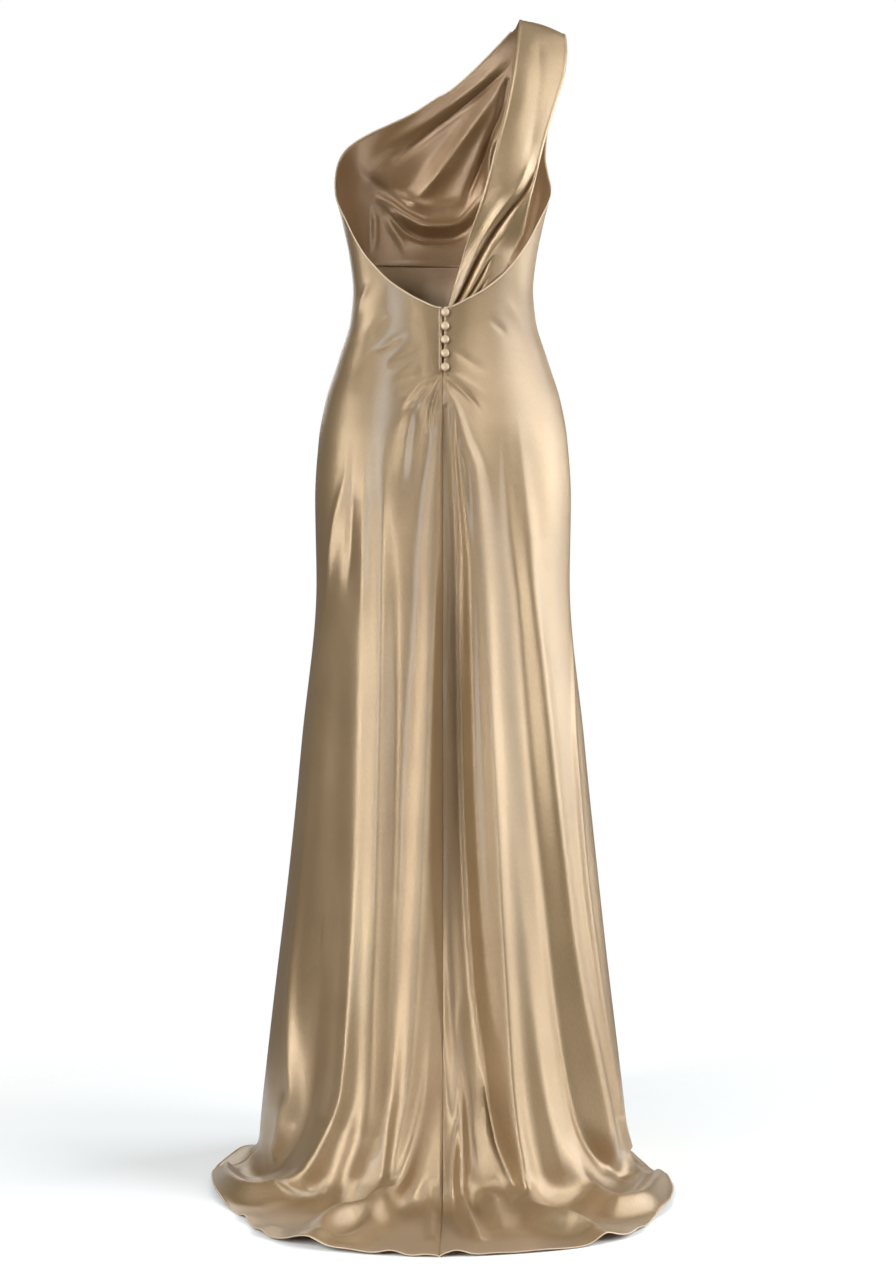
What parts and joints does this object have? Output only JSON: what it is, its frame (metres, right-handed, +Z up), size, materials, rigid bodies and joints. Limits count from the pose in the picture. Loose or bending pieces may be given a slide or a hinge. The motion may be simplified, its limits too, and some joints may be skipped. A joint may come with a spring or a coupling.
{
  "type": "one-shoulder dress",
  "caption": "Long one-shoulder satin evening dress with a draped front, an open back crossed by a pleated strap, covered buttons and a short train.",
  "frame": {"origin": "underside of the strap at the top of the wearer's right shoulder, which holds the dress up", "axes": "+Z up, -Y towards the wearer's front, +X towards the wearer's left"},
  "size_m": [0.6007, 0.7051, 1.5236],
  "materials": {
    "satin": "heavy satin, soft sheen on the outside, a little duller inside",
    "satin_trim": "the same satin on narrow bindings and covered buttons"
  },
  "bodies": {
    "root": {"back_left": "satin", "back_right": "satin", "skirt_front": "satin", "bodice_front": "satin", "strap": "satin", "binding_back_left": "satin_trim", "binding_back_right": "satin_trim", "binding_neck_front": "satin_trim", "binding_armhole": "satin_trim", "button_1": "satin_trim", "button_2": "satin_trim", "button_3": "satin_trim", "button_4": "satin_trim", "button_5": "satin_trim"}
  },
  "joints": []
}
